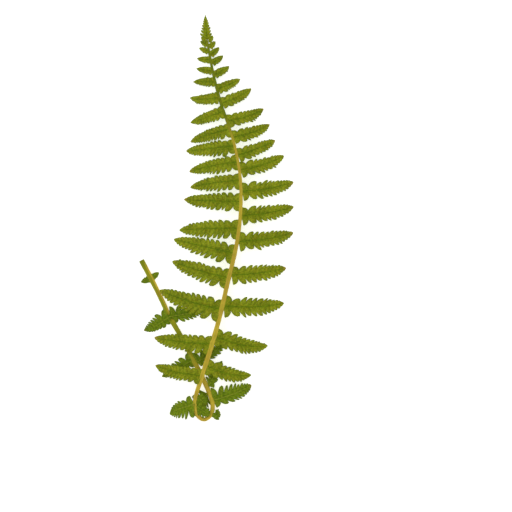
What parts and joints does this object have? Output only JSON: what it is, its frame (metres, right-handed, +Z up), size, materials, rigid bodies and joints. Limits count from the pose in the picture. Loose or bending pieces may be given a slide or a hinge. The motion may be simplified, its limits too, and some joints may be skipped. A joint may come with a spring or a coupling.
{
  "type": "fern frond",
  "caption": "Cut fern frond lying flat: a stem folded back on itself in a narrow loop, with lobed leaflets in two rows that shorten to a toothed tip.",
  "frame": {"origin": "the middle of the frond's bounding box, on the surface that it lies on", "axes": "+Y from the looped foot to the tip, the longest extent; +X to the right as seen from above; +Z up, the shortest extent"},
  "size_m": [0.168, 0.442, 0.0148],
  "materials": {
    "stem_bark": "satin, tan-orange ridged stalk that turns green towards the tip",
    "leaf_upper": "matt olive-green leaf, upper side, with darker midribs",
    "leaf_underside": "matt brighter green leaf, underside, with pale raised veins"
  },
  "bodies": {
    "root": {"apex": "leaf_upper", "loop_pinna_cross": "leaf_underside", "loop_pinna_inner": "leaf_underside", "loop_pinna_left": "leaf_underside", "loop_pinna_over": "leaf_underside", "loop_pinna_right": "leaf_underside", "loop_pinna_spike_1": "leaf_underside", "loop_pinna_spike_2": "leaf_underside", "pinna_01_left": "leaf_upper", "pinna_01_right": "leaf_upper", "pinna_02_left": "leaf_upper", "pinna_02_right": "leaf_upper", "pinna_03_left": "leaf_upper", "pinna_03_right": "leaf_upper", "pinna_04_left": "leaf_upper", "pinna_04_right": "leaf_upper", "pinna_05_left": "leaf_upper", "pinna_05_right": "leaf_upper", "pinna_06_left": "leaf_upper", "pinna_06_right": "leaf_upper", "pinna_07_left": "leaf_upper", "pinna_07_right": "leaf_upper", "pinna_08_left": "leaf_upper", "pinna_08_right": "leaf_upper", "pinna_09_left": "leaf_upper", "pinna_09_right": "leaf_upper", "pinna_10_left": "leaf_upper", "pinna_10_right": "leaf_upper", "pinna_11_left": "leaf_upper", "pinna_11_right": "leaf_upper", "pinna_12_left": "leaf_upper", "pinna_12_right": "leaf_upper", "pinna_13_left": "leaf_upper", "pinna_13_right": "leaf_upper", "pinna_14_left": "leaf_upper", "pinna_14_right": "leaf_upper", "pinna_15_left": "leaf_upper", "pinna_15_right": "leaf_upper", "pinna_16_left": "leaf_upper", "pinna_16_right": "leaf_upper", "pinna_17_left": "leaf_upper", "pinna_17_right": "leaf_upper", "pinna_18_left": "leaf_upper", "pinna_18_right": "leaf_upper", "pinna_19_left": "leaf_upper", "stem": "stem_bark", "stipe_pinna_1_left": "leaf_underside", "stipe_pinna_1_right": "leaf_underside", "stipe_pinna_2_left": "leaf_underside", "stipe_pinna_2_right": "leaf_underside", "stipe_pinna_3_left": "leaf_underside", "stipe_pinna_3_right": "leaf_underside", "stipe_pinna_4_right": "leaf_underside"}
  },
  "joints": []
}
